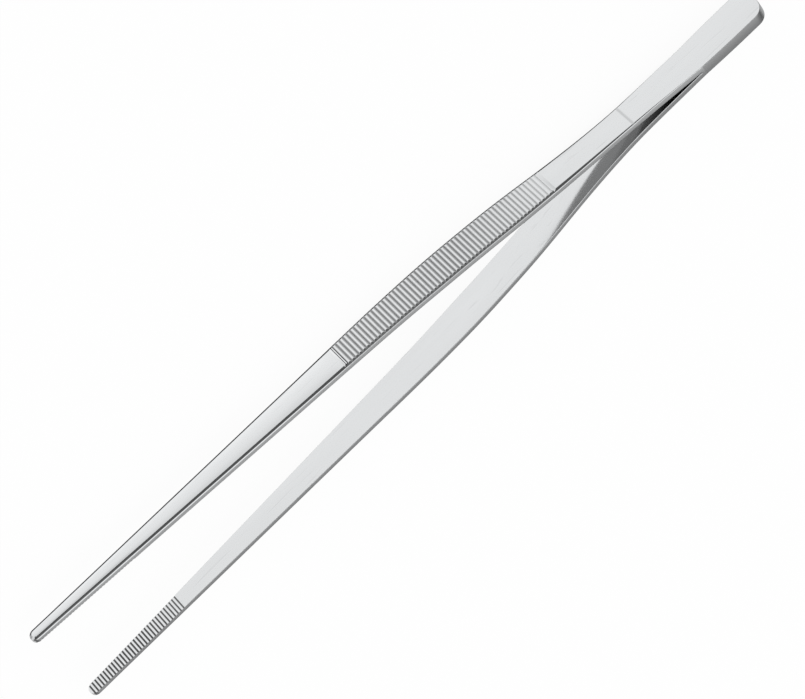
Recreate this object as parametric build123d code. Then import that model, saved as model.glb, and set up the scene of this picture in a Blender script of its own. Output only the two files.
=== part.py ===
from build123d import *
from math import asin, atan2, cos, degrees, hypot, radians, sin, tan
import os

os.makedirs("parts", exist_ok=True)

# Long kitchen tongs of the tweezer kind: two polished steel strips, welded face to face at the heel.
# +X runs from the heel to the tips, the arms open along Y, and +Z is up when the tongs lie on their side
# edges. The left strip is the one on the +Y side. The origin is under the middle of the whole part.
# The left strip is modelled with its heel end at X 0 and its inner face on the middle plane Y 0, and the
# right strip is its mirror image. Places are distances from the heel end, along X.

# The whole object
tongs_length = 300.0      # heel end to tips
strip_thickness = 2.1     # of each strip, the same all along

# Side profile of a strip, as runs one after the other and slopes away from the middle plane
heel_length = 27.6        # heel end to the split, where the two strips part
split_to_crease = 26.4    # the crease is the pressed bend line across each outer face
crease_to_grip = 32.9     # the rest of the spring neck
grip_straight_run = 16.1
bow_run = 59.3            # over this run the arm bows back; the straight shank follows
neck_slope = 3.5          # degrees, from the split to the crease
crease_slope = 4.2        # degrees, just after the crease
grip_slope = 8.3          # degrees, where the arms spread most
shank_slope = 2.1         # degrees, along the shank

# Plan outline of a strip: full widths and where they lie
heel_width = 12.9
waist_width = 10.2
grip_width = 12.8
heel_wide_place = 10.0    # where the heel is widest
waist_after_crease = 4.7  # the narrowest place of the neck
widening_run = 24.1       # from the start of the grip to its full width
full_width_run = 21.6     # from there to the corner where the long taper would start
taper_easing = 7.0        # length of the rounded change to the taper, each side of that corner
tip_radius = 2.2          # of the round end of each tip
heel_arch = 2.7           # how far the arched heel end stands out past its corners
heel_corner_radius = 4.3

# Edges: a light break round the heel, which grows along the neck into the bevel of the arm
edge_break = 0.25
crease_bevel_width = 0.45
crease_bevel_depth = 0.2
bevel_width = 0.95
bevel_depth = 0.46

# Cross ribs of the grip, on the outer face
rib_pitch = 1.51
rib_count = 55
rib_height = 0.34
rib_crest_drop = 0.03     # how far the crests lie below the plain face
rib_margin = 1.6          # plain steel between the neck and the first groove
rib_fade_count = 6        # the first grooves grow from almost nothing

# Teeth of the tip, on the inner face
toothed_length = 40.2
tooth_pitch = 1.24
tooth_step = 0.1          # how far the tooth lands lie below the inner face
tooth_depth = 0.28
tooth_groove_width = 0.62
tooth_groove_floor = 0.24

# Spot welds between the two heels
weld_radius = 2.0
weld_depth = 0.9          # into each heel plate
weld_shares = (0.31, 0.79)   # of the heel's length

overrun = 3.0             # how far cutting shapes reach past what they cut
neck_bevel_sections = 7   # sections of the growing bevel between the crease and the grip

crease_place = heel_length + split_to_crease
grip_place = crease_place + crease_to_grip
bow_place = grip_place + grip_straight_run
shank_place = bow_place + bow_run
waist_place = crease_place + waist_after_crease
full_width_place = grip_place + widening_run
taper_place = full_width_place + full_width_run
tooth_place = tongs_length - toothed_length
lying_edge = max(heel_width, grip_width) / 2   # the side edges that the tongs lie on


def along(slope):
    return Vector(cos(radians(slope)), sin(radians(slope)))


def outward(slope):
    return Vector(-sin(radians(slope)), cos(radians(slope)))


def mitre(point, slope_before, slope_after, offset):
    """The point beside a corner of a line, at the given distance from both of its sides."""
    half_turn = radians((slope_after - slope_before) / 2)
    return point + outward((slope_before + slope_after) / 2) * (offset / cos(half_turn))


class Stretch:
    """A straight or evenly curved stretch of a strip's inner line, in side view."""

    def __init__(self, start, last_place, slope_in, slope_out):
        self.start = start
        self.slopes = (slope_in, slope_out)
        self.curved = slope_in != slope_out
        if self.curved:
            self.radius = (last_place - start.X) / (sin(radians(slope_out)) - sin(radians(slope_in)))
        self.end = self.point(last_place)

    def slope(self, place):
        slope_in = self.slopes[0]
        if not self.curved:
            return slope_in
        return degrees(asin(sin(radians(slope_in)) + (place - self.start.X) / self.radius))

    def point(self, place):
        run, slope_in = place - self.start.X, self.slopes[0]
        if not self.curved:
            return self.start + Vector(run, run * tan(radians(slope_in)))
        rise = self.radius * (cos(radians(slope_in)) - cos(radians(self.slope(place))))
        return self.start + Vector(run, rise)

    def line(self, offset=0.0, slope_before=None, slope_after=None):
        """The stretch's inner line, or a line beside it that is mitred to its neighbours."""
        slope_in, slope_out = self.slopes
        first = mitre(self.start, slope_in if slope_before is None else slope_before, slope_in, offset)
        last = mitre(self.end, slope_out, slope_out if slope_after is None else slope_after, offset)
        if not self.curved:
            return Line(first, last)
        middle = (self.start.X + self.end.X) / 2
        return ThreePointArc(first, self.point(middle) + outward(self.slope(middle)) * offset, last)


def make_stretches():
    """The inner line of the left strip, from the split to past the tip."""
    plan = (
        (crease_place, neck_slope, neck_slope),
        (grip_place, crease_slope, grip_slope),
        (bow_place, grip_slope, grip_slope),
        (shank_place, grip_slope, shank_slope),
        (tongs_length + overrun, shank_slope, shank_slope),
    )
    made, start = [], Vector(heel_length, 0)
    for last_place, slope_in, slope_out in plan:
        made.append(Stretch(start, last_place, slope_in, slope_out))
        start = made[-1].end
    return made


lower_neck, upper_neck, grip_straight, grip_bow, shank = make_stretches()


def face_of(lines):
    return make_face(Wire(edge for line in lines for edge in line.edges()))


def side_face(run, slope_before, slope_after):
    """The side view of a run of stretches: inner line, outer line and the two ends."""
    inner, outer = [], []
    for i, part in enumerate(run):
        before = run[i - 1].slopes[1] if i else slope_before
        after = run[i + 1].slopes[0] if i + 1 < len(run) else slope_after
        inner.append(part.line())
        outer.append(part.line(strip_thickness, before, after))
    ends = [Line(inner[0] @ 0, outer[0] @ 0), Line(inner[-1] @ 1, outer[-1] @ 1)]
    return face_of(inner + outer + ends)


def s_curve(start, end):
    """An even S between two places where the outline runs straight along the strip."""
    third = (end[0] - start[0]) / 3
    return Bezier(start, (start[0] + third, start[1]), (end[0] - third, end[1]), end)


def plan_outline():
    """The strip seen on its flat face, drawn with the length along X and the width along Y."""
    tip_centre = tongs_length - tip_radius
    run = tip_centre - taper_place
    half_grip = grip_width / 2
    taper = atan2(half_grip, run) - asin(tip_radius / hypot(run, half_grip))
    touch = (tip_centre + tip_radius * sin(taper), tip_radius * cos(taper))
    ease_start = (taper_place - taper_easing, half_grip)
    ease_end = (taper_place + taper_easing * cos(taper), half_grip - taper_easing * sin(taper))
    heel_corner = (heel_arch, heel_width / 2)
    heel_wide = (heel_wide_place, heel_width / 2)
    waist = (waist_place, waist_width / 2)
    full_width = (full_width_place, half_grip)
    side = [
        Line(heel_corner, heel_wide),
        s_curve(heel_wide, waist),
        s_curve(waist, full_width),
        Line(full_width, ease_start),
        TangentArc(ease_start, ease_end, tangent=(1, 0)),
        Line(ease_end, touch),
    ]
    other_side = [edge.mirror(Plane.XZ) for edge in side]
    tip = ThreePointArc(touch, (tongs_length, 0), (touch[0], -touch[1]))
    heel_end = ThreePointArc(heel_corner, (0, 0), (heel_corner[0], -heel_corner[1]))
    outline = face_of(side + other_side + [tip, heel_end])
    corners = outline.vertices().sort_by(Axis.X)[:2]
    return fillet(corners, heel_corner_radius)


outline_solid = extrude(Plane.XZ * plan_outline(), amount=tongs_length / 2, both=True)


def across(face):
    """A side view, drawn on XY, run across the full width of the strip."""
    return extrude(face, amount=lying_edge + overrun, both=True)


def is_crosswise(edge):
    """Whether an edge runs straight across the strip, as the edges at its cut ends do."""
    return edge.geom_type == GeomType.LINE and abs(edge.tangent_at(0.5).Z) > cos(radians(shank_slope))


def square_rims(solid):
    """The long edges of a left strip's outer face that are still square, each with that face."""
    for face in solid.faces():
        if face.normal_at(face.center()).Y < cos(radians(2 * grip_slope)):
            continue
        for edge in face.edges():
            beside = [other for other in solid.faces() if any(e.is_same(edge) for e in other.edges())]
            first, second = [other.normal_at(edge @ 0.5) for other in beside]
            if abs(first.dot(second)) < sin(radians(2 * grip_slope)) and not is_crosswise(edge):
                yield edge, face


def bevelled(body, width, depth):
    """A body of the left strip with a bevel along its outer edges and round its end."""
    solid = body.solid()
    while rim := next(square_rims(solid), None):
        edge, face = rim
        solid = solid.chamfer(width, depth, [edge], face=face)
    return solid


def weld_nuggets():
    """The round spot welds, half in each heel plate."""
    nugget = Plane.XZ * Cylinder(weld_radius, 2 * weld_depth)
    return [Pos(share * heel_length, 0, 0) * nugget for share in weld_shares]


def heel_plate():
    """The flat end of the left strip, with its outer edges broken and pockets for the welds."""
    top = mitre(Vector(heel_length, 0), 0, neck_slope, strip_thickness)
    side = Polyline((-overrun, 0), (heel_length, 0), top, (-overrun, strip_thickness), close=True)
    plate = bevelled(across(make_face(side)) & outline_solid, edge_break, edge_break)
    for nugget in weld_nuggets():
        plate -= nugget
    return plate


def half_width(place):
    """Half the strip's width on the neck, between the widest place of the heel and that of the grip."""
    if place < waist_place:
        first, last, start, end = heel_wide_place, waist_place, heel_width, waist_width
    else:
        first, last, start, end = waist_place, full_width_place, waist_width, grip_width
    share = (place - first) / (last - first)
    return (start + (end - start) * share * share * (3 - 2 * share)) / 2


def bevel_section(stretch, place, width, depth, side):
    """What the bevel takes from one outer edge of the neck at one place; side is 1 or -1 along Z."""
    slope = stretch.slope(place)
    face_point = stretch.point(place) + outward(slope) * strip_thickness
    sideways = Vector(0, 0, side)
    corner = face_point + sideways * half_width(face_point.X)
    past = (sideways * width - outward(slope) * depth) * (overrun / hypot(width, depth))
    on_face, on_side = corner - sideways * width, corner - outward(slope) * depth
    above = corner + past + outward(slope) * overrun
    return make_face(Polyline(on_face - past, on_side + past, above, close=True))


def neck_bevels(stretch, places, sizes):
    """The growing bevels along a stretch of the neck, as what they take from its two outer edges."""
    for side in (1, -1):
        sections = [bevel_section(stretch, place, *size, side) for place, size in zip(places, sizes)]
        yield loft(sections, ruled=True)


def between(first, last, share):
    """The sizes at a share of the way from the first to the last."""
    return [a + (b - a) * share for a, b in zip(first, last)]


def neck():
    """The spring neck: plain steel that narrows to a waist, with the crease across it."""
    body = across(side_face([lower_neck, upper_neck], 0, grip_slope)) & outline_solid
    sizes = ((edge_break, edge_break), (crease_bevel_width, crease_bevel_depth), (bevel_width, bevel_depth))
    shares = [i / (neck_bevel_sections - 1) for i in range(neck_bevel_sections)]
    bevels = []
    for stretch, first, last in zip((lower_neck, upper_neck), sizes, sizes[1:]):
        places = [stretch.start.X + (stretch.end.X - stretch.start.X) * share for share in shares]
        bevels += neck_bevels(stretch, places, [between(first, last, share) for share in shares])
    return body - bevels


def rib_comb():
    """What the cross grooves of the grip take away: everything above a row of rounded ribs."""
    outer = Wire(
        edge for part in (grip_straight, grip_bow, shank) for edge in part.line(strip_thickness).edges()
    )

    def at(place, depth):
        forward = outer.tangent_at(place, PositionMode.LENGTH)
        return outer.position_at(place, PositionMode.LENGTH) + Vector(forward.Y, -forward.X) * depth

    valleys = [rib_margin + i * rib_pitch for i in range(rib_count + 1)]
    depths = [rib_height * min(1, (i + 1) / rib_fade_count) for i in range(rib_count + 1)]
    ribs = [
        ThreePointArc(
            at(valleys[i], depths[i]),
            at(valleys[i] + rib_pitch / 2, rib_crest_drop),
            at(valleys[i + 1], depths[i + 1]),
        )
        for i in range(rib_count)
    ]
    closing = Polyline(ribs[-1] @ 1, at(valleys[-1], -overrun), at(valleys[0], -overrun), ribs[0] @ 0)
    return across(face_of(ribs + [closing]))


def tooth_comb():
    """What the milling of the tip takes from the inner face: a shallow step with cross grooves."""
    start = shank.point(tooth_place)

    def at(run, depth):
        return start + along(shank_slope) * run + outward(shank_slope) * depth

    count = int(toothed_length / tooth_pitch)
    outline = [at(0, -overrun), at(0, tooth_step)]
    for i in range(count):
        middle = (i + 0.5) * tooth_pitch
        outline += [
            at(middle - tooth_groove_width / 2, tooth_step),
            at(middle - tooth_groove_floor / 2, tooth_step + tooth_depth),
            at(middle + tooth_groove_floor / 2, tooth_step + tooth_depth),
            at(middle + tooth_groove_width / 2, tooth_step),
        ]
    end = toothed_length + overrun
    outline += [at(end, tooth_step), at(end, -overrun)]
    return across(make_face(Polyline(*outline, close=True)))


def arm():
    """One arm: bowed grip with cross ribs, straight tapered shank, and a round tip with teeth inside."""
    side = side_face([grip_straight, grip_bow, shank], grip_slope, shank_slope)
    plain = bevelled(across(side) & outline_solid, bevel_width, bevel_depth)
    return plain - rib_comb() - tooth_comb()


def in_place(body):
    """From the heel end and the middle plane to the part's own origin."""
    return Pos(-tongs_length / 2, 0, lying_edge) * body


left = {"heel_plate": heel_plate(), "spring_neck": neck(), "arm": arm()}

for name, body in left.items():
    export_step(in_place(body), f"parts/left_{name}.step")
    export_step(in_place(mirror(body, about=Plane.XZ)), f"parts/right_{name}.step")
export_step(in_place(Compound(children=weld_nuggets())), "parts/heel_weld_nuggets.step")

print("tips open, between the inner faces:", round(2 * shank.point(tongs_length).Y, 2), "mm")
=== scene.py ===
# %% [markdown]
# # Long kitchen tongs in polished steel
# The real object is two long strips of spring steel, welded face to face at the heel. Nothing on it is
# screwed or riveted: the strips are stamped flat, milled, ground, bent over a former and polished. This
# lesson makes one strip in that same order, mirrors it, and then gives each surface its own finish.
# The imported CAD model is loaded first. It is the frame that every new piece has to fit.

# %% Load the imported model
from math import asin, atan2, copysign, cos, hypot, pi, radians, sin, sqrt, tan

import bmesh
import bpy
from mathutils import Matrix, Vector


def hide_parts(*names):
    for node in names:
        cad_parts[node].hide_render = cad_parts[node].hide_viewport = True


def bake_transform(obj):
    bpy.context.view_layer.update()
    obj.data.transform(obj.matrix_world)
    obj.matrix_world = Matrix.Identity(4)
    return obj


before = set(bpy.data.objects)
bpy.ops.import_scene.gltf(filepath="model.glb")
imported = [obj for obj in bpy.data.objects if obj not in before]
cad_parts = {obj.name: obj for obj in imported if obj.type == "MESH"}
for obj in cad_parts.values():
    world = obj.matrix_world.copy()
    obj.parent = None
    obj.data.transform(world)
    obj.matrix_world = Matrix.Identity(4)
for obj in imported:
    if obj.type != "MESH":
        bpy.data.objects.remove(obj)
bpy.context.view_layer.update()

mm = 0.001
print("CAD nodes:", sorted(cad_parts))

# %% [markdown]
# ## The camera
# The tongs lie on their side edges and are seen from one side and above, with a long lens, so that the
# far strip is hardly smaller than the near one. They run across the picture from the upper right to
# the lower left. The camera is built from three directions: where it looks, which way the tongs' length
# runs in the picture, and the direction square to both.

# %% Set the camera
camera_elevation = radians(40.6)
camera_distance = 1407 * mm
camera_shift_along = 49 * mm          # the camera stands this far towards the tips from its aim
camera_aim = Vector((5.5, 0, 9.3)) * mm
length_turn = radians(136.21)         # clockwise, from the picture's right to the tongs' length
focal_pixels = 4528
picture_width, sensor_width = 805, 36

away = Vector((0, -cos(camera_elevation), sin(camera_elevation)))
camera_place = camera_aim + away * camera_distance + Vector((camera_shift_along, 0, 0))
back = (camera_place - camera_aim).normalized()
lengthwise = (Vector((1, 0, 0)) - back * back.x).normalized()
crosswise = back.cross(lengthwise)
right = lengthwise * cos(length_turn) + crosswise * sin(length_turn)
up = back.cross(right)

lens = bpy.data.cameras.new("camera")
lens.sensor_width = sensor_width
lens.lens = focal_pixels * sensor_width / picture_width
camera = bpy.data.objects.new("camera", lens)
camera.matrix_world = Matrix.Translation(camera_place) @ Matrix((right, up, back)).transposed().to_4x4()
bpy.context.scene.collection.objects.link(camera)
bpy.context.scene.camera = camera
print("lens, mm:", round(lens.lens, 1), "camera at", [round(v, 3) for v in camera_place])

# %% [markdown]
# ## The drawing of a strip
# A maker works from two drawings. The side view is a chain of straight and evenly curved stretches: the
# flat heel, the spring neck, the grip, the bow and the straight shank. The plan is the outline of the
# flat blank. Both drawings have the sizes of the CAD part, so the new strips fill the same space.

# %% Write down the sizes
tongs_length, strip_thickness, lying_height = 300 * mm, 2.1 * mm, 6.45 * mm
side_view = [   # run along X in mm, then the slope at its start and at its end, in degrees
    (27.6, 0.0, 0.0),       # heel
    (26.4, 3.5, 3.5),       # neck, up to the crease
    (32.9, 4.2, 8.3),       # neck, up to the grip
    (16.1, 8.3, 8.3),       # straight part of the grip
    (59.3, 8.3, 2.1),       # bow
    (137.7, 2.1, 2.1),      # shank
]
split_place, crease_place, grip_place = 27.6 * mm, 54 * mm, 86.9 * mm
heel_half, waist_half, grip_half = 6.45 * mm, 5.1 * mm, 6.4 * mm
heel_wide_place, waist_place, full_width_place = 10 * mm, 58.7 * mm, 111 * mm
taper_place, taper_easing, tip_radius = 132.6 * mm, 7 * mm, 2.2 * mm
heel_arch, heel_corner_radius = 2.7 * mm, 4.3 * mm
print("stretches in the side view:", len(side_view))

# %% Describe one stretch
class Stretch:
    """One straight or evenly curved stretch of a strip, with its place along X and on the flat blank."""

    def __init__(self, place, height, flat_start, run, slope_in, slope_out):
        self.place, self.height, self.flat_start = place, height, flat_start
        self.slope_in, self.slope_out, self.run = radians(slope_in), radians(slope_out), run
        self.turn = self.slope_out - self.slope_in
        if self.turn:
            self.radius = run / (sin(self.slope_out) - sin(self.slope_in))
            self.length = self.radius * self.turn
            self.rise = self.radius * (cos(self.slope_in) - cos(self.slope_out))
            self.handle = abs(self.radius) * 4 / 3 * tan(abs(self.turn) / 4)
        else:
            self.length, self.rise = run / cos(self.slope_in), run * tan(self.slope_in)
            self.handle = self.length / 3

    def flat(self, place):
        """How far along the flat blank a place along X lies."""
        if not self.turn:
            return self.flat_start + (place - self.place) / cos(self.slope_in)
        slope = asin(sin(self.slope_in) + (place - self.place) / self.radius)
        return self.flat_start + self.radius * (slope - self.slope_in)

    def place_of(self, length):
        """The place along X of a length on the flat blank."""
        if not self.turn:
            return self.place + (length - self.flat_start) * cos(self.slope_in)
        slope = self.slope_in + (length - self.flat_start) / self.radius
        return self.place + self.radius * (sin(slope) - sin(self.slope_in))


# %% Lay the stretches end to end
stretches = []
place = height = flat_start = 0.0
for run, slope_in, slope_out in side_view:
    stretches.append(Stretch(place, height, flat_start, run * mm, slope_in, slope_out))
    place += stretches[-1].run
    height += stretches[-1].rise
    flat_start += stretches[-1].length
blank_length = flat_start
print("blank length, mm:", round(blank_length / mm, 3), "tip height, mm:", round(height / mm, 3))


def flat(place):
    """How far along the flat blank a place along X lies."""
    return [s for s in stretches if s.place <= place][-1].flat(place)


def place_of(length):
    """The place along X of a length on the flat blank."""
    return [s for s in stretches if s.flat_start <= max(length, 0)][-1].place_of(length)


# %% [markdown]
# The outline of the blank widens and narrows in soft S curves, and then tapers to a small round tip.
# A function that gives half the width at any place is all that the plan drawing has to say.

# %% Work out where the outline changes
arch_radius = (heel_arch ** 2 + heel_half ** 2) / (2 * heel_arch)
corner_across = heel_half - heel_corner_radius
corner_along = arch_radius - sqrt((arch_radius - heel_corner_radius) ** 2 - corner_across ** 2)
arch_end = arch_radius * (1 - (arch_radius - corner_along) / (arch_radius - heel_corner_radius))
tip_centre = tongs_length - tip_radius
taper_run = tip_centre - taper_place
taper = atan2(grip_half, taper_run) - asin(tip_radius / hypot(taper_run, grip_half))
taper_touch = tip_centre + tip_radius * sin(taper)
ease_start, ease_end = taper_place - taper_easing, taper_place + taper_easing * cos(taper)
ease_radius = taper_easing / tan(taper / 2)
end_half = 0.3 * mm       # both ends stop at a last ring this far from the middle
print("the taper meets the round tip, mm:", round(taper_touch / mm, 2))


# %% Turn the plan into a half width
def s_curve(place, first, last, start, end):
    """Goes from start to end between two places, and is level at both."""
    share = (place - first) / (last - first)
    return start + (end - start) * share * share * (3 - 2 * share)


def half_width(place):
    """Half the width of the strip at a place along X."""
    if place < arch_end:
        return max(end_half, sqrt(max(0, arch_radius ** 2 - (arch_radius - place) ** 2)))
    if place < corner_along:
        return corner_across + sqrt(heel_corner_radius ** 2 - (corner_along - place) ** 2)
    if place < heel_wide_place:
        return heel_half
    if place < waist_place:
        return s_curve(place, heel_wide_place, waist_place, heel_half, waist_half)
    if place < full_width_place:
        return s_curve(place, waist_place, full_width_place, waist_half, grip_half)
    if place < ease_start:
        return grip_half
    if place < ease_end:
        return grip_half - ease_radius + sqrt(ease_radius ** 2 - (place - ease_start) ** 2)
    if place < taper_touch:
        return grip_half - (place - taper_place) * tan(taper)
    return max(end_half, sqrt(max(0, tip_radius ** 2 - (place - tip_centre) ** 2)))


print("half widths, mm:", [round(half_width(p * mm) / mm, 2) for p in (1, 10, 60, 112, 133, 200, 295)])

# %% [markdown]
# ## The milled forms
# The grip has cross ribs: rounded crests with sharp valleys, cut with a form cutter, whose crests lean a
# little towards the tips. The first grooves fade in, and after the last one the edge of the cutter has
# left a fine second line. A pressed crease crosses the neck as a very shallow dip. Inside the tips a small
# saw has cut flat-bottomed grooves, the first ones with a narrower floor, and left straight teeth between
# them. The ribs and teeth are spaced as in the CAD part. The tooth grooves are shallower here, the ribs
# take longer to reach their full height and the crease lies 1.3 mm further on, because that looks more
# like the real tongs. Each form is a function of the length along the blank, so that the strip's rings
# can be put exactly on the valleys and the tooth edges.

# %% Write down the ribs and teeth
rib_pitch, rib_count, rib_height, crest_drop, rib_margin = 1.51 * mm, 55, 0.34 * mm, 0.03 * mm, 1.6 * mm
rib_fade_count, rib_fade_power = 24, 0.36     # the grooves deepen fast at first, and then ever more slowly
rib_start = flat(grip_place) + rib_margin
rib_end = rib_start + rib_count * rib_pitch
rib_rise = rib_height - crest_drop
rib_radius = ((rib_pitch / 2) ** 2 + rib_rise ** 2) / (2 * rib_rise)
rib_lean = 1.2            # the power that moves the crests towards the tips; 1 leaves them in the middle
rings_per_rib = 6
last_line = (     # how far past the last valley, and how deep
    (0, 0.34 * mm), (0.15 * mm, 0.01 * mm), (0.48 * mm, 0.01 * mm), (0.6 * mm, 0.26 * mm), (0.72 * mm, 0))
cut_end = rib_end + last_line[-1][0]

# crease_shade is how much painted shade darkens the crease's shallow dip
crease_line, crease_half, crease_depth, crease_shade = flat(55.3 * mm), 0.7 * mm, 0.05 * mm, 0.4

toothed_length = 40.2 * mm
tooth_start = flat(tongs_length - toothed_length)
tooth_pitch, tooth_count = 1.24 * mm, 32
tooth_step, tooth_depth = 0.1 * mm, 0.14 * mm
tooth_groove_half = 0.31 * mm
tooth_floors = (          # the groove, counted from the first one, and half the width of its floor
    (0, 0.04 * mm), (12, 0.17 * mm), (18, 0.19 * mm), (31, 0.15 * mm))
wall = 0.02 * mm          # a steep step is drawn this long, so that it has two rings of its own
hair = wall / 20          # two places nearer to each other than this count as one
print("ribs, mm: from", round(rib_start / mm, 2), "to", round(rib_end / mm, 2))
print("teeth, mm: from", round(tooth_start / mm, 2))


# %% Turn them into depths
def between(table, value):
    """Reads a table of pairs, place and value: even steps between them, level before and after."""
    for (first, start), (last, end) in zip(table, table[1:]):
        if value < last:
            return start + (end - start) * max(0.0, value - first) / (last - first)
    return table[-1][1]


def outer_cut(length):
    """How deep the outer face lies below its plain level: in the crease, the ribs and the last line."""
    from_crease = abs(length - crease_line) / crease_half
    if from_crease < 1:
        return crease_depth * (1 + cos(pi * from_crease)) / 2
    if rib_end < length < cut_end:
        return between(last_line, length - rib_end)
    if not rib_start - wall / 2 < length <= rib_end:
        return 0.0
    turns = min(max((length - rib_start) / rib_pitch, 0), rib_count)
    valley = rib_height * min(1, (turns + 1) / rib_fade_count) ** rib_fade_power
    off = ((turns % 1) ** rib_lean - 0.5) * rib_pitch
    bulge = (rib_radius - sqrt(rib_radius ** 2 - off ** 2)) / rib_rise
    return crest_drop + (valley - crest_drop) * bulge


def tooth_cut(length):
    """How deep the inside of the tip is cut below the plain inner face."""
    if length < tooth_start - wall / 2:
        return 0.0
    if length > tooth_start + tooth_count * tooth_pitch:
        return tooth_step
    teeth = (length - tooth_start) / tooth_pitch
    off = abs(teeth % 1 - 0.5) * tooth_pitch
    slope = (tooth_groove_half - off) / (tooth_groove_half - between(tooth_floors, int(teeth)))
    return tooth_step + tooth_depth * min(max(slope, 0), 1)


print("depth of the last valley, mm:", round(outer_cut(rib_end) / mm, 3))
first_groove = tooth_cut(tooth_start + tooth_pitch / 2)
print("the first tooth groove reaches below the inner face, mm:", round(first_groove / mm, 3))

# %% [markdown]
# ## From a cube to a scribed blank
# The blank starts as a cube, stretched to the length, thickness and width of the strip. Then rings are
# scribed across it with bisect, wherever the outline, a rib, a tooth or a bend needs one, close together
# where the shape changes fast. Within the ribs the space between two valleys is simply subdivided.

# %% Helpers for edit mode
def only(piece):
    """Makes a piece the only selected one."""
    if bpy.context.object and bpy.context.object.mode != "OBJECT":
        bpy.ops.object.mode_set(mode="OBJECT")
    bpy.ops.object.select_all(action="DESELECT")
    piece.select_set(True)
    bpy.context.view_layer.objects.active = piece


def edit(piece):
    """Goes to edit mode with one piece."""
    only(piece)
    bpy.ops.object.mode_set(mode="EDIT")


def edit_shape():
    """The shape of the piece that is in edit mode."""
    return bmesh.from_edit_mesh(bpy.context.object.data)


def pick(kind, test):
    """In edit mode, selects just the edges or faces that pass the test, and counts them."""
    bpy.ops.mesh.select_mode(type=kind)
    bpy.ops.mesh.select_all(action="DESELECT")
    shape = edit_shape()
    items = shape.edges if kind == "EDGE" else shape.faces
    chosen = [item for item in items if test(item)]
    for item in chosen:
        item.select_set(True)
    shape.select_flush_mode()
    bmesh.update_edit_mesh(bpy.context.object.data)
    return len(chosen)


def runs_lengthwise(edge):
    """Whether an edge runs more along the strip than across it."""
    one, other = (end.co for end in edge.verts)
    return abs(one.x - other.x) > max(abs(one.y - other.y), abs(one.z - other.z))


def middle(edge):
    """The middle of an edge."""
    return (edge.verts[0].co + edge.verts[1].co) / 2


# %% Add the blank
bpy.ops.object.select_all(action="DESELECT")
bpy.ops.mesh.primitive_cube_add(
    size=1, location=(blank_length / 2, strip_thickness / 2, 0),
    scale=(blank_length, strip_thickness, 2 * grip_half),
)
left_strip = bpy.context.object
left_strip.name = "left_strip"
bpy.ops.object.transform_apply(location=True, rotation=True, scale=True)
print("points of the blank:", len(left_strip.data.vertices))

# %% List the rings
def steps(first, last, count):
    """Evenly spaced values between two ends, both included."""
    return [first + (last - first) * i / count for i in range(count + 1)]


# The heel's end gets its rings by half width, its corners and the tip by the turn round them in degrees.
arch_rings = [arch_radius - sqrt(arch_radius ** 2 - across ** 2) for across in steps(1 * mm, 4 * mm, 5)]
corner_rings = [corner_along - heel_corner_radius * cos(radians(turn)) for turn in steps(28, 90, 8)]
tip_rings = [tip_centre + tip_radius * cos(radians(turn)) for turn in steps(90, 17, 9)]
plain_rings = (
    steps(6 * mm, 26.6 * mm, 10)            # heel
    + steps(27 * mm, 28.6 * mm, 4)          # where the strips part
    + steps(30 * mm, 53 * mm, 16)           # neck, up to the crease
    + steps(54 * mm, 87 * mm, 22)           # neck, up to the grip
    + steps(172.5 * mm, 258 * mm, 26)       # shank, from the ribs to the teeth
)
outline_rings = [flat(place) for place in arch_rings + corner_rings + plain_rings + tip_rings]

cut_rings = [crease_line + share * crease_half for share in steps(-1, 1, 8)]
cut_rings += [rib_start - wall] + [rib_start + i * rib_pitch for i in range(rib_count + 1)]
cut_rings += [rib_end + past for past, depth in last_line[1:]]
cut_rings += [tooth_start - wall, tooth_start]
for tooth in range(tooth_count):
    groove, floor_half = tooth_start + (tooth + 0.5) * tooth_pitch, between(tooth_floors, tooth)
    cut_rings += [groove + off for off in (-tooth_groove_half, -floor_half, floor_half, tooth_groove_half)]

least_space = 0.06 * mm      # a ring of the outline gives way to a cut this near
kept_rings = [ring for ring in outline_rings if all(abs(ring - cut) > least_space for cut in cut_rings)]
rings = cut_rings + kept_rings
print("rings to scribe:", len(rings))

# %% Scribe the rings
snap = wall / 100       # bisect takes points this near as lying on the ring, and makes none beside them
edit(left_strip)
for ring in rings:
    bpy.ops.mesh.select_all(action="SELECT")
    bpy.ops.mesh.bisect(plane_co=(ring, 0, 0), plane_no=(1, 0, 0), threshold=snap)
in_ribs = pick("EDGE", lambda edge: runs_lengthwise(edge) and rib_start < middle(edge).x < rib_end)
bpy.ops.mesh.subdivide(number_cuts=rings_per_rib - 1)
print("rib edges subdivided:", in_ribs, "points now:", len(edit_shape().verts))

# %% Draw in the outline
for point in edit_shape().verts:
    point.co.z = copysign(half_width(place_of(point.co.x)), point.co.z)
bmesh.update_edit_mesh(left_strip.data)
print("widest, mm:", round(2 * max(point.co.z for point in edit_shape().verts) / mm, 2))

# %% [markdown]
# ## Bevels, ribs and teeth
# A bevel runs along both edges of the outer face and round the tip. Inset draws its upper edge at an
# even distance from the outline, also round the ends. The heel only has its edges broken, here a little
# less than in the CAD part, and the bevel grows along the neck. So each point is then moved to the share
# of the full bevel that belongs there.
# A groove that cuts into a bevelled edge opens outwards, which scallops the upper edge of the bevel.

# %% Inset the outer face
bevel_width, bevel_depth = 0.95 * mm, 0.46 * mm
crease_bevel_width, crease_bevel_depth, edge_break = 0.45 * mm, 0.2 * mm, 0.1 * mm
run_out_share = 1.15      # a groove reaches this much nearer to the rim than a straight cut would
least_inset = 0.02        # but never the whole way
straight_out = 0.9        # the least a normal points along Y, from 0 to 1, on a face that is the outer one


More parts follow.
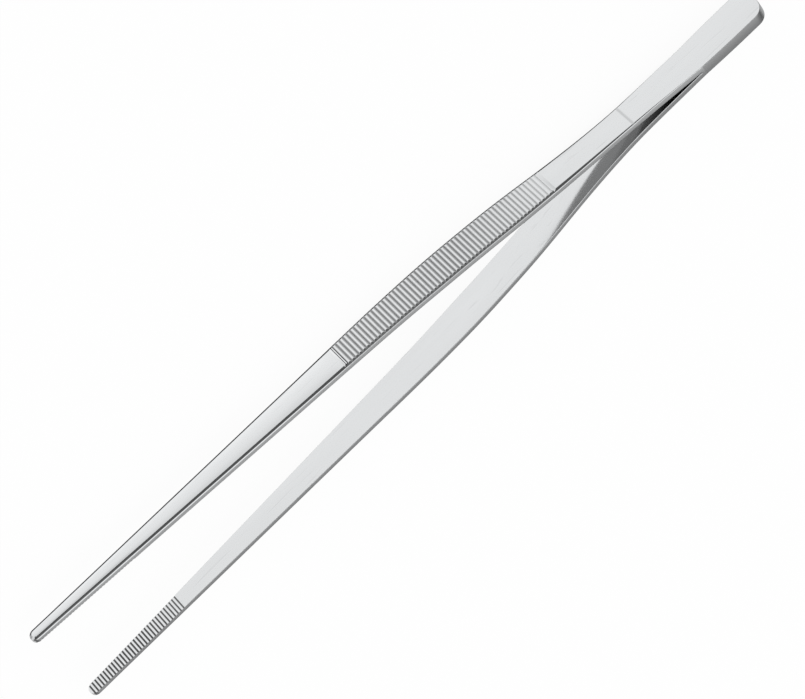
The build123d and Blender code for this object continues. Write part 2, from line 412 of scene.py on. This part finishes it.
def bevel_at(place):
    """The bevel's width on the outer face and its depth on the side."""
    if place < split_place:
        return edge_break, edge_break
    if place < crease_place:
        share = ((place - split_place) / (crease_place - split_place)) ** 2
        return (edge_break + (crease_bevel_width - edge_break) * share,
                edge_break + (crease_bevel_depth - edge_break) * share)
    share = min(1, (place - crease_place) / (grip_place - crease_place))
    return (crease_bevel_width + (bevel_width - crease_bevel_width) * share,
            crease_bevel_depth + (bevel_depth - crease_bevel_depth) * share)


faces = pick("FACE", lambda face: face.normal.y > straight_out)
bpy.ops.mesh.inset(thickness=bevel_width, depth=0, use_even_offset=True)
print("outer faces inset:", faces)

# %% Cut the bevel, the ribs and the teeth
shape = edit_shape()
# Each point keeps how deep its groove is cut; the steel turns that into painted shade in the ribs' valleys,
# the crease and the tooth grooves, and makes them rougher.
painted_groove_shade_mask = shape.verts.layers.float.new("groove")
rims = []
for point in shape.verts:
    if point.select:
        around = [edge.other_vert(point) for edge in point.link_edges]
        rim = next(other for other in around if not other.select)
        rims.append((point, rim))
for point, rim in rims:
    width, depth = bevel_at(place_of(rim.co.x))
    inwards = (point.co - rim.co) * (width / bevel_width)
    cut = outer_cut(rim.co.x)
    inset_left = max(least_inset, 1 - run_out_share * cut / depth)
    point.co = rim.co + inwards * inset_left + Vector((0, -cut, 0))
    # In the crease, before the ribs, the painted shade is set by crease_shade rather than by the depth
    # alone.
    before_ribs = rim.co.x < rib_start - rib_pitch
    crease_painted_shade = crease_shade * cut / crease_depth if before_ribs else 0
    point[painted_groove_shade_mask] = max(cut / rib_height, crease_painted_shade)
for point, rim in rims:
    rim.co.y = strip_thickness - bevel_at(place_of(rim.co.x))[1]
for point in shape.verts:
    if point.co.y < wall:
        point.co.y = tooth_cut(point.co.x)
        point[painted_groove_shade_mask] = max(0.0, (point.co.y - tooth_step) / tooth_depth)
bmesh.update_edit_mesh(left_strip.data)
print("bevel points:", len(rims))

# %% [markdown]
# The shank's outer face is ground by hand, so it is very slightly crowned. The crown is what makes its
# lower edge brighter and its upper edge darker than its middle. The face is divided across, and its
# middle lines are raised by a small share of its width.

# %% Crown the shank
crown_share, crown_power, crown_ease, crown_cuts = 0.011, 3, 4 * mm, 5


def crosses_shank(edge):
    """Whether an edge crosses the shank's outer face from one bevel to the other."""
    one, other = (end.co for end in edge.verts)
    level = all(abs(end.co.y - strip_thickness) < hair for end in edge.verts)
    across = one.z * other.z < 0 and abs(one.x - other.x) < hair
    return level and across and one.x > cut_end - hair


crossing = pick("EDGE", crosses_shank)
bpy.ops.mesh.subdivide(number_cuts=crown_cuts)
raised = 0
for point in edit_shape().verts:
    face_half = half_width(place_of(point.co.x)) - bevel_width
    if point.select and point.co.x > cut_end and abs(point.co.z) < face_half - wall:
        ease = min(1, (point.co.x - cut_end) / crown_ease)
        point.co.y += crown_share * face_half * (1 - abs(point.co.z / face_half) ** crown_power) * ease
        raised += 1
bmesh.update_edit_mesh(left_strip.data)
print("lines across the shank:", crossing, "points raised:", raised)

# %% [markdown]
# ## Soft edges
# Grinding and polishing leave no edge quite sharp. The rim between the bevel and the side is rounded all
# the way round, and so are the upper edge of the bevel, outside the ribs, and the inner edge, from where
# the strips part to the first tooth. The shank's rim is rounded most, and the inner edge is rounded more
# along the neck than further on. These narrow round edges catch the light from above and draw the fine
# bright lines along the tongs. The inner edges of the heel stay sharp, because there the two strips are
# welded and ground as one.

# %% Tell the edges apart
end_space = 1 * mm          # the inner edge's rounding keeps this far from the split and from the teeth
nearly_out = 0.96           # a face whose normal points less than this along Y borders the outer face


def lies_on(edge, depth_at):
    """Whether both ends of an edge lie on the outline, at the given depth below the outer face."""
    return all(
        abs(end.co.y - strip_thickness + depth_at(end.co.x)) < hair
        and abs(abs(end.co.z) - half_width(place_of(end.co.x))) < hair
        for end in edge.verts
    )


def on_rim(edge):
    """Whether an edge runs round the outline, where the bevel meets the side or the end."""
    return lies_on(edge, lambda length: bevel_at(place_of(length))[1])


def on_inner_edge(edge):
    """Whether an edge is one of the long inner ones, between the split and the teeth."""
    inside = flat(split_place + end_space) < middle(edge).x < tooth_start - end_space
    return inside and runs_lengthwise(edge) and lies_on(edge, lambda length: strip_thickness)


def on_face_edge(edge):
    """Whether an edge borders the plain outer face, away from the ribs."""
    outside = not rib_start - rib_pitch < middle(edge).x < cut_end + rib_pitch
    level = all(abs(end.co.y - strip_thickness + outer_cut(end.co.x)) < hair for end in edge.verts)
    return outside and level and any(face.normal.y < nearly_out for face in edge.link_faces)


# %% Size the roundings
rim_roundings = (        # the length along the blank, and how far the rim's rounding reaches there
    (flat(split_place), 0.05 * mm), (crease_line, 0.18 * mm), (rib_start, 0.18 * mm),
    (rib_start + 10 * mm, 0.08 * mm), (cut_end, 0.08 * mm), (cut_end + 10 * mm, 0.26 * mm),
    (blank_length, 0.26 * mm))
inner_roundings = (      # the same for the inner edge
    (0, 0.17 * mm), (rib_start, 0.17 * mm), (rib_start + 30 * mm, 0.08 * mm), (blank_length, 0.08 * mm))
heel_face_rounding, face_rounding = 0.04 * mm, 0.1 * mm
most_rounding = max(reach for length, reach in rim_roundings)
print("widest rounding, mm:", round(most_rounding / mm, 2))


def rounding_of(edge):
    """How far the rounding of an edge reaches; most edges have none."""
    length = middle(edge).x
    if on_rim(edge):
        return between(rim_roundings, length)
    if on_face_edge(edge):
        return heel_face_rounding if length < flat(crease_place) else face_rounding
    return between(inner_roundings, length) if on_inner_edge(edge) else 0


# %% Round the edges
shape = edit_shape()
bmesh.ops.recalc_face_normals(shape, faces=shape.faces)
weight = shape.edges.layers.float.new("bevel_weight_edge")
for edge in shape.edges:
    edge[weight] = rounding_of(edge) / most_rounding
print("edges to round:", sum(edge[weight] > 0 for edge in shape.edges))
bmesh.update_edit_mesh(left_strip.data)
only(left_strip)
rounding = left_strip.modifiers.new("rounding", "BEVEL")
rounding.limit_method = "WEIGHT"
rounding.width = most_rounding
rounding.segments = 4
rounding.use_clamp_overlap = False
bpy.ops.object.modifier_apply(modifier=rounding.name)
edit(left_strip)
print("faces now:", len(left_strip.data.polygons))

# %% [markdown]
# The sides are ground on a belt with both strips pressed together. A belt takes a little more at the
# outside, so the two sides are crowned as one, from one outer face to the other, and each of them shades
# from its inner to its outer edge.

# %% Crown the sides
side_crown, tip_rest, side_cuts = 0.065 * mm, 3 * mm, 4
least_side = 0.4          # a side is at least this share of the thickness high


def crosses_side(edge):
    """Whether an edge crosses a side from the inner face to the rim."""
    one, other = (end.co for end in edge.verts)
    upright = abs(one.x - other.x) < hair and abs(one.z - other.z) < hair
    return upright and abs(one.y - other.y) > strip_thickness * least_side


print("lines across the sides:", pick("EDGE", crosses_side))
bpy.ops.mesh.subdivide(number_cuts=side_cuts)
for point in edit_shape().verts:
    place = place_of(point.co.x)
    before_tip = min(max((taper_touch - tip_rest - place) / crown_ease, 0), 1)
    point.co.z *= 1 - side_crown * (point.co.y / strip_thickness) ** 2 * before_tip / half_width(place)
bmesh.update_edit_mesh(left_strip.data)

# %% [markdown]
# ## Where each finish goes
# The strip is one piece of steel, but its surfaces are worked differently: the wide faces and bevels are
# polished, the sides are only ground, the heel's sides are ground last and coarsest, across the weld, and
# the ribs and teeth keep the marks of the cutter, which leave them rougher in their grooves. The crease, the
# ribs' valleys and the tooth grooves are also darkened with painted shade. The faces are chosen by where
# they look and where they lie, while the blank is still flat, and get their material slot.

# %% Make the finishes
def new_material(name):
    """A new material with Blender's usual Principled shader."""
    material = bpy.data.materials.new(name)
    material.use_nodes = True
    return material


polished_steel = new_material("polished_strip_steel")
ground_steel = new_material("ground_side_steel")
heel_side_steel = new_material("ground_heel_side_steel")
ribbed_steel = new_material("ribbed_grip_steel")
toothed_steel = new_material("toothed_tip_steel")
finishes = [polished_steel, ground_steel, heel_side_steel, ribbed_steel, toothed_steel]
for finish in finishes:
    left_strip.data.materials.append(finish)
print("slots:", len(left_strip.material_slots))

# %% Tell the surfaces apart
# These limits say how far a normal points along Y, or for a tooth along Z, from 0 to 1.
side_most, heel_side_most, rib_least, tooth_most = 0.3, 0.9, 0.5, 0.1


def is_side(face):
    """The sides, without the bevels above them and without the broken edges."""
    return abs(face.normal.y) < side_most and face.calc_center_median().y < strip_thickness - edge_break


def is_heel_side(face):
    """The heel's sides and end, with the broken edges, which are ground together with them."""
    centre = face.calc_center_median()
    return abs(face.normal.y) < heel_side_most and centre.y > wall and centre.x < flat(split_place)


def is_rib(face):
    """The ribbed part of the outer face, with the fine line after the last rib."""
    centre = face.calc_center_median()
    outside = centre.y > strip_thickness - rib_height - wall and face.normal.y > rib_least
    return outside and rib_start - wall < centre.x < cut_end


def is_tooth(face):
    """The teeth's crests, walls and floors, but not the sides beside them."""
    centre = face.calc_center_median()
    inside = centre.y < tooth_step + tooth_depth and abs(face.normal.z) < tooth_most
    return inside and centre.x > tooth_start - wall


# %% Give out the material slots
def assign(finish, test):
    """Gives a finish to the faces that pass the test, and counts them."""
    count = pick("FACE", test)
    left_strip.active_material_index = finishes.index(finish)
    bpy.ops.object.material_slot_assign()
    return count


for finish, test in (
    (ground_steel, is_side),
    (heel_side_steel, is_heel_side),
    (ribbed_steel, is_rib),
    (toothed_steel, is_tooth),
):
    print(finish.name, "faces:", assign(finish, test))

# %% [markdown]
# ## Over the former
# A press bends the flat blank along the chain of stretches. In Blender the former is a path: a Bezier
# curve with a knot at each change of stretch and handles of just the length that makes an even arc. The
# Curve modifier lays the blank along it, and once applied, the strip only has to be moved to its place.

# %% Draw the former
former_data = bpy.data.curves.new("former", "CURVE")
former_data.dimensions = "3D"
former_data.twist_mode = "Z_UP"
former_data.resolution_u = 64
former_line = former_data.splines.new("BEZIER")
former_line.bezier_points.add(len(stretches))
for i, knot in enumerate(former_line.bezier_points):
    before, after = stretches[max(i - 1, 0)], stretches[min(i, len(stretches) - 1)]
    at_end = i == len(stretches)
    place = tongs_length if at_end else after.place
    height = after.height + after.rise if at_end else after.height
    slope_before = before.slope_out if i else after.slope_in
    slope_after = after.slope_out if at_end else after.slope_in
    knot.handle_left_type = knot.handle_right_type = "FREE"
    knot.co = Vector((place, height, 0))
    knot.handle_left = knot.co - Vector((cos(slope_before), sin(slope_before), 0)) * before.handle
    knot.handle_right = knot.co + Vector((cos(slope_after), sin(slope_after), 0)) * after.handle
former = bpy.data.objects.new("former", former_data)
bpy.context.scene.collection.objects.link(former)
print("knots of the former:", len(former_line.bezier_points))

# %% Bend the strip
only(left_strip)
bend = left_strip.modifiers.new("bend", "CURVE")
bend.object = former
bend.deform_axis = "POS_X"
bpy.ops.object.modifier_apply(modifier=bend.name)
bpy.data.objects.remove(former)

edit(left_strip)
bpy.ops.mesh.select_all(action="SELECT")
bpy.ops.transform.translate(value=(-tongs_length / 2, 0, lying_height))
bpy.ops.object.mode_set(mode="OBJECT")
low = [min(v.co[i] for v in left_strip.data.vertices) / mm for i in range(3)]
high = [max(v.co[i] for v in left_strip.data.vertices) / mm for i in range(3)]
print("left strip, mm:", [round(v, 3) for v in low + high])

# %% [markdown]
# ## The second strip
# The right strip is stamped with the same tools and is the mirror image of the left one. A negative scale
# mirrors the copy, and because that turns its faces inside out, its normals are made consistent again.
# Then both strips are shaded smooth except at real corners, and weighted normals keep the wide faces
# flat right up to their narrow rounded edges, as grinding does.

# %% Mirror the strip
only(left_strip)
bpy.ops.object.duplicate(linked=False)
right_strip = bpy.context.object
right_strip.name = "right_strip"
right_strip.scale = (1, -1, 1)
bpy.ops.object.transform_apply(location=False, rotation=False, scale=True)
edit(right_strip)
bpy.ops.mesh.select_all(action="SELECT")
bpy.ops.mesh.normals_make_consistent(inside=False)
print("mirrored:", right_strip.name)

# %% Smooth both strips
smooth_below = radians(23)     # less than the turn from the outer face to its bevel
for strip in (left_strip, right_strip):
    only(strip)
    bpy.ops.object.shade_smooth_by_angle(angle=smooth_below)
    weighting = strip.modifiers.new("weighting", "WEIGHTED_NORMAL")
    weighting.keep_sharp = True
    bpy.ops.object.modifier_apply(modifier=weighting.name)
    print(strip.name, "faces:", len(strip.data.polygons))

# %% [markdown]
# ## Where the strips bend
# Squeezing bends the necks, as a leaf spring bends. The bend is written down as running from where the
# strips part to a little after the grip has begun. The imported nodes are hidden and stay for the
# simulation, and the strips are shown in their place.

# %% Hide the imported strips and bake the new ones in place
bend_start, bend_end = Vector((-122.4, 0, 6.45)) * mm, Vector((-57.6, 0, 6.45)) * mm
for strip, side in ((left_strip, "left"), (right_strip, "right")):
    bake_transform(strip)
    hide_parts(side + "_heel_plate", side + "_spring_neck", side + "_arm")
    print(strip.name, "bends from", bend_start.x, "to", bend_end.x)

# %% [markdown]
# ## Steel
# All the surfaces are the same stainless steel, and differ in how they were worked and in the painted shade
# that darkens their grooves. A metal's look is its reflection, so each finish is a metallic colour, a
# roughness, and a fine relief of marks that run along the strip: the lines of the last grinding, and a few
# longer scratches from use, which run a little askew. A wide soft haze is what wiping leaves. The marks are
# one node group, used by every finish at its own strength.

# %% Helpers for materials
def add_node(tree, kind, **settings):
    """Adds a node and sets what it is told to."""
    node = tree.nodes.new(kind)
    for name, value in settings.items():
        setattr(node, name, value)
    return node


def new_group(name, inputs, outputs):
    """A shader node group with float inputs (name: default) and outputs (name: socket type)."""
    group = bpy.data.node_groups.new(name, "ShaderNodeTree")
    for socket, value in inputs.items():
        made = group.interface.new_socket(socket, in_out="INPUT", socket_type="NodeSocketFloat")
        made.default_value = value
    for socket, kind in outputs.items():
        group.interface.new_socket(socket, in_out="OUTPUT", socket_type=kind)
    return group, add_node(group, "NodeGroupInput"), add_node(group, "NodeGroupOutput")


def set_inputs(node, values):
    """Sets inputs of a node by their names."""
    for socket, value in values.items():
        node.inputs[socket].default_value = value


# %% Size the marks and start their group
# The scales say how finely each kind of mark repeats along the strip, through it and across it.
line_scale, haze_scale, scratch_scale = (60, 3500, 3500), (18, 160, 160), (45, 900, 900)
scratch_turn = (0, radians(4), radians(3))
scratch_from, scratch_full = 0.66, 0.74      # the noise shows as a scratch from here, and in full from there
scratch_dip = 0.8
grain, grain_in, grain_out = new_group(
    "long_grain", {"Fineness": 1.0, "Amount": 1.0},
    {name: "NodeSocketFloat" for name in ("Lines", "Haze", "Scratches", "Height")},
)
print("grain group sockets:", [item.name for item in grain.interface.items_tree])

# %% Add the group's nodes
place_on_steel = add_node(grain, "ShaderNodeTexCoord")
stretch_lines = add_node(grain, "ShaderNodeMapping")
stretch_lines.inputs["Scale"].default_value = line_scale
fine = add_node(grain, "ShaderNodeTexNoise")
fine.inputs["Detail"].default_value = 3
stretch_haze = add_node(grain, "ShaderNodeMapping")
stretch_haze.inputs["Scale"].default_value = haze_scale
cloudy = add_node(grain, "ShaderNodeTexNoise")
set_inputs(cloudy, {"Scale": 1, "Detail": 2})
turn_scratches = add_node(grain, "ShaderNodeMapping")
set_inputs(turn_scratches, {"Rotation": scratch_turn, "Scale": scratch_scale})
scratchy = add_node(grain, "ShaderNodeTexNoise")
set_inputs(scratchy, {"Scale": 1, "Detail": 1})
scratches = add_node(grain, "ShaderNodeMapRange")
set_inputs(scratches, {"From Min": scratch_from, "From Max": scratch_full, "To Min": 0, "To Max": 1})
height = add_node(grain, "ShaderNodeMath", operation="MULTIPLY_ADD")
scratch_depth = add_node(grain, "ShaderNodeMath", operation="MULTIPLY")
scratch_depth.inputs[1].default_value = -scratch_dip
centred = add_node(grain, "ShaderNodeMath", operation="SUBTRACT")
centred.inputs[1].default_value = 0.5
lines = add_node(grain, "ShaderNodeMath", operation="MULTIPLY")
haze_centred = add_node(grain, "ShaderNodeMath", operation="SUBTRACT")
haze_centred.inputs[1].default_value = 0.5
print("grain group nodes:", len(grain.nodes))

# %% Join the group's nodes
grain.links.new(place_on_steel.outputs["Object"], stretch_lines.inputs["Vector"])
grain.links.new(place_on_steel.outputs["Object"], stretch_haze.inputs["Vector"])
grain.links.new(stretch_lines.outputs["Vector"], fine.inputs["Vector"])
grain.links.new(grain_in.outputs["Fineness"], fine.inputs["Scale"])
grain.links.new(stretch_haze.outputs["Vector"], cloudy.inputs["Vector"])
grain.links.new(fine.outputs["Fac"], centred.inputs[0])
grain.links.new(centred.outputs["Value"], lines.inputs[0])
grain.links.new(grain_in.outputs["Amount"], lines.inputs[1])
grain.links.new(cloudy.outputs["Fac"], haze_centred.inputs[0])
grain.links.new(place_on_steel.outputs["Object"], turn_scratches.inputs["Vector"])
grain.links.new(turn_scratches.outputs["Vector"], scratchy.inputs["Vector"])
grain.links.new(scratchy.outputs["Fac"], scratches.inputs["Value"])
grain.links.new(scratches.outputs["Result"], scratch_depth.inputs[0])
grain.links.new(fine.outputs["Fac"], height.inputs[0])
grain.links.new(grain_in.outputs["Amount"], height.inputs[1])
grain.links.new(scratch_depth.outputs["Value"], height.inputs[2])
grain.links.new(lines.outputs["Value"], grain_out.inputs["Lines"])
grain.links.new(haze_centred.outputs["Value"], grain_out.inputs["Haze"])
grain.links.new(scratches.outputs["Result"], grain_out.inputs["Scratches"])
grain.links.new(height.outputs["Value"], grain_out.inputs["Height"])
print("grain group joins:", len(grain.links))

# %% Build a steel from its values
line_contrast, scratch_shade, haze_contrast = 0.8, 0.05, 0.08
mark_height = 0.01 * mm


def finish_steel(material, colour, roughness, fineness, amount, relief, groove_painted_shade=0.0, groove_rough=0.0):
    """Polished or ground steel: colour and roughness vary with the grain, and the grooves are darkened with
    painted shade and made rougher.
    """
    tree = material.node_tree
    shader = tree.nodes["Principled BSDF"]
    shader.inputs["Metallic"].default_value = 1
    marks = add_node(tree, "ShaderNodeGroup", node_tree=grain)
    marks.inputs["Fineness"].default_value = fineness
    marks.inputs["Amount"].default_value = amount
    worn = add_node(tree, "ShaderNodeMath", operation="ADD")
    worn.inputs[1].default_value = roughness
    tree.links.new(marks.outputs["Lines"], worn.inputs[0])
    streaks = add_node(tree, "ShaderNodeMath", operation="MULTIPLY_ADD")
    streaks.inputs[1].default_value = line_contrast
    streaks.inputs[2].default_value = 1
    tree.links.new(marks.outputs["Lines"], streaks.inputs[0])
    scored = add_node(tree, "ShaderNodeMath", operation="MULTIPLY_ADD")
    scored.inputs[1].default_value = -scratch_shade
    tree.links.new(marks.outputs["Scratches"], scored.inputs[0])
    tree.links.new(streaks.outputs["Value"], scored.inputs[2])
    shade = add_node(tree, "ShaderNodeMath", operation="MULTIPLY_ADD")
    shade.inputs[1].default_value = haze_contrast
    tree.links.new(marks.outputs["Haze"], shade.inputs[0])
    tree.links.new(scored.outputs["Value"], shade.inputs[2])
    # Painted shade: the deeper the groove under a point, the darker its colour.
    groove = add_node(tree, "ShaderNodeAttribute", attribute_name="groove")
    darker = add_node(tree, "ShaderNodeMath", operation="MULTIPLY_ADD")
    darker.inputs[1].default_value = -groove_painted_shade
    tree.links.new(groove.outputs["Fac"], darker.inputs[0])
    tree.links.new(shade.outputs["Value"], darker.inputs[2])
    tint = add_node(tree, "ShaderNodeVectorMath", operation="SCALE")
    tint.inputs[0].default_value = colour
    tree.links.new(darker.outputs["Value"], tint.inputs["Scale"])
    tree.links.new(tint.outputs["Vector"], shader.inputs["Base Color"])
    rougher = add_node(tree, "ShaderNodeMath", operation="MULTIPLY_ADD")
    rougher.inputs[1].default_value = groove_rough
    tree.links.new(groove.outputs["Fac"], rougher.inputs[0])
    tree.links.new(worn.outputs["Value"], rougher.inputs[2])
    tree.links.new(rougher.outputs["Value"], shader.inputs["Roughness"])
    bump = add_node(tree, "ShaderNodeBump")
    set_inputs(bump, {"Strength": relief, "Distance": mark_height})
    tree.links.new(marks.outputs["Height"], bump.inputs["Height"])
    tree.links.new(bump.outputs["Normal"], shader.inputs["Normal"])


# %% Give each finish its steel
# Each finish has its colour and roughness, then the fineness, amount and relief of its marks, and then the
# painted shade and added roughness in its grooves.
finish_steel(polished_steel, (0.90, 0.90, 0.90), 0.12, 1, 0.05, 0.3, groove_painted_shade=0.6)
finish_steel(ground_steel, (0.67, 0.67, 0.67), 0.28, 1, 0.10, 0.6)
finish_steel(heel_side_steel, (0.52, 0.52, 0.52), 0.38, 1, 0.14, 0.8)
finish_steel(ribbed_steel, (0.98, 0.98, 0.98), 0.16, 1, 0.06, 0.3, groove_painted_shade=0.37, groove_rough=0.15)
finish_steel(toothed_steel, (0.95, 0.95, 0.95), 0.16, 1, 0.06, 0.3, groove_painted_shade=0.87, groove_rough=0.2)
print("finishes:", [finish.name for finish in finishes])

# %% Give the weld its steel
weld_steel = new_material("weld_steel")
finish_steel(weld_steel, (0.45, 0.44, 0.43), 0.5, 0.5, 0.2, 1)
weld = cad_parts["heel_weld_nuggets"]
weld.data.materials.clear()
weld.data.materials.append(weld_steel)
print("hidden weld:", weld.name, "in", weld_steel.name)

# %% [markdown]
# ## Floor and light
# The tongs lie on a white table in a white studio. Polished steel shows what is around it: its wide faces
# mirror the table, the bevels mirror the dark far end of the room just above the horizon, and the round
# edges mirror the bright ceiling. So the world is white to the camera and plain white light for the table,
# and for reflections it is a room. From straight down upwards, that room is dark, then the white near
# table, the greyer far table, a dark band from the horizon up, and the bright ceiling. In the narrow gap
# by the heel the strips mirror each other, and the more often they do, the less light is left.

# %% Lay the floor
floor_size, floor_drop = 8, 0.05 * mm
bpy.ops.object.select_all(action="DESELECT")
bpy.ops.mesh.primitive_plane_add(size=floor_size, location=(0, 0, -floor_drop))
floor = bpy.context.object
floor.name = "floor"
floor.visible_glossy = False      # the steel mirrors the room's lower half instead, which has no shadow
print("floor, m:", floor_size, "wide, mm below the tongs:", round(floor_drop / mm, 2))

# %% Paint the floor
paint_white, camera_white = 0.92, 0.92     # the camera sees mostly plain white, and some of the lit paint
floor_paint = new_material("white_table")
floor.data.materials.append(floor_paint)
tree = floor_paint.node_tree
paint = tree.nodes["Principled BSDF"]
paint.inputs["Base Color"].default_value = (paint_white, paint_white, paint_white, 1)
set_inputs(paint, {"Roughness": 0.9, "Specular IOR Level": 0})
white = add_node(tree, "ShaderNodeEmission")
rays = add_node(tree, "ShaderNodeLightPath")
whiteness = add_node(tree, "ShaderNodeMath", operation="MULTIPLY")
whiteness.inputs[1].default_value = camera_white
mix = add_node(tree, "ShaderNodeMixShader")
tree.links.new(rays.outputs["Is Camera Ray"], whiteness.inputs[0])
tree.links.new(whiteness.outputs["Value"], mix.inputs["Fac"])
tree.links.new(paint.outputs["BSDF"], mix.inputs[1])
tree.links.new(white.outputs["Emission"], mix.inputs[2])
tree.links.new(mix.outputs["Shader"], tree.nodes["Material Output"].inputs["Surface"])
print("floor paint nodes:", len(tree.nodes))

# %% Write down the room's light
room_levels = (     # how far up a reflection looks, from -1 straight down to 1 straight up, and its light
    (-1.0, 0.05), (-0.97, 0.06), (-0.88, 0.25), (-0.79, 1.0), (-0.71, 1.0), (-0.65, 0.87), (-0.60, 0.66),
    (-0.50, 0.62), (-0.40, 0.72), (-0.08, 0.78), (0.03, 0.07), (0.22, 0.08), (0.50, 0.20), (0.66, 0.32),
    (0.80, 0.85), (0.90, 1.0), (1.0, 1.0),
)
daylight = (0.975, 0.99, 1.0)
table_middle, table_end, end_level = 0.25, 0.70, 0.42      # the near table is lit less towards its ends
near_table, far_table = -0.58, -0.45       # how far up it looks where the one ends and the other starts
dimming = (     # how many mirrorings, and how much light is left
    (1, 1.0), (2, 0.28), (3, 0.24), (4, 0.085), (5, 0.045))
print("levels up the room:", len(room_levels), "levels by mirrorings:", len(dimming))

# %% Add the room's nodes
world = bpy.data.worlds.new("studio")
bpy.context.scene.world = world
world.use_nodes = True
tree = world.node_tree
direction = add_node(tree, "ShaderNodeTexCoord")
parts = add_node(tree, "ShaderNodeSeparateXYZ")
height = add_node(tree, "ShaderNodeMapRange")
height.inputs["From Min"].default_value = -1
room = add_node(tree, "ShaderNodeValToRGB")
while len(room.color_ramp.elements) < len(room_levels):
    room.color_ramp.elements.new(0.5)
for element, (rise, level) in zip(room.color_ramp.elements, room_levels):
    element.position = (rise + 1) / 2
    element.color = (*(level * tint for tint in daylight), 1)
sideways = add_node(tree, "ShaderNodeMath", operation="ABSOLUTE")
table = add_node(tree, "ShaderNodeMapRange", interpolation_type="SMOOTHSTEP")
set_inputs(table, {"From Min": table_middle, "From Max": table_end, "To Min": 1})
evened = add_node(tree, "ShaderNodeMapRange")
set_inputs(evened, {"From Min": near_table, "From Max": far_table, "To Min": end_level, "To Max": 1})
print("levels set:", [round(element.position, 3) for element in room.color_ramp.elements])

# %% Add the nodes that dim repeated mirroring
rays = add_node(tree, "ShaderNodeLightPath")
mirrorings = add_node(tree, "ShaderNodeMath", operation="DIVIDE")
mirrorings.inputs[1].default_value = dimming[-1][0]
dimmed = add_node(tree, "ShaderNodeValToRGB")
while len(dimmed.color_ramp.elements) < len(dimming):
    dimmed.color_ramp.elements.new(0.5)
for element, (count, left) in zip(dimmed.color_ramp.elements, dimming):
    element.position = count / dimming[-1][0]
    element.color = (left, left, left, 1)
level = add_node(tree, "ShaderNodeMath", operation="MULTIPLY")
lit_room = add_node(tree, "ShaderNodeVectorMath", operation="SCALE")
seen = add_node(tree, "ShaderNodeMix", data_type="RGBA")
seen.inputs["A"].default_value = (1, 1, 1, 1)
print("room nodes:", len(tree.nodes))

# %% Join the room's nodes
tree.links.new(direction.outputs["Generated"], parts.inputs["Vector"])
tree.links.new(parts.outputs["Z"], height.inputs["Value"])
tree.links.new(height.outputs["Result"], room.inputs["Fac"])
tree.links.new(parts.outputs["X"], sideways.inputs[0])
tree.links.new(sideways.outputs["Value"], table.inputs["Value"])
tree.links.new(parts.outputs["Z"], evened.inputs["Value"])
tree.links.new(evened.outputs["Result"], table.inputs["To Max"])
tree.links.new(rays.outputs["Glossy Depth"], mirrorings.inputs[0])
tree.links.new(mirrorings.outputs["Value"], dimmed.inputs["Fac"])
tree.links.new(table.outputs["Result"], level.inputs[0])
tree.links.new(dimmed.outputs["Color"], level.inputs[1])
tree.links.new(room.outputs["Color"], lit_room.inputs[0])
tree.links.new(level.outputs["Value"], lit_room.inputs["Scale"])
tree.links.new(rays.outputs["Is Glossy Ray"], seen.inputs["Factor"])
tree.links.new(lit_room.outputs["Vector"], seen.inputs["B"])
tree.links.new(seen.outputs["Result"], tree.nodes["Background"].inputs["Color"])
bpy.context.scene.view_settings.view_transform = "Standard"
print("room joins:", len(tree.links))
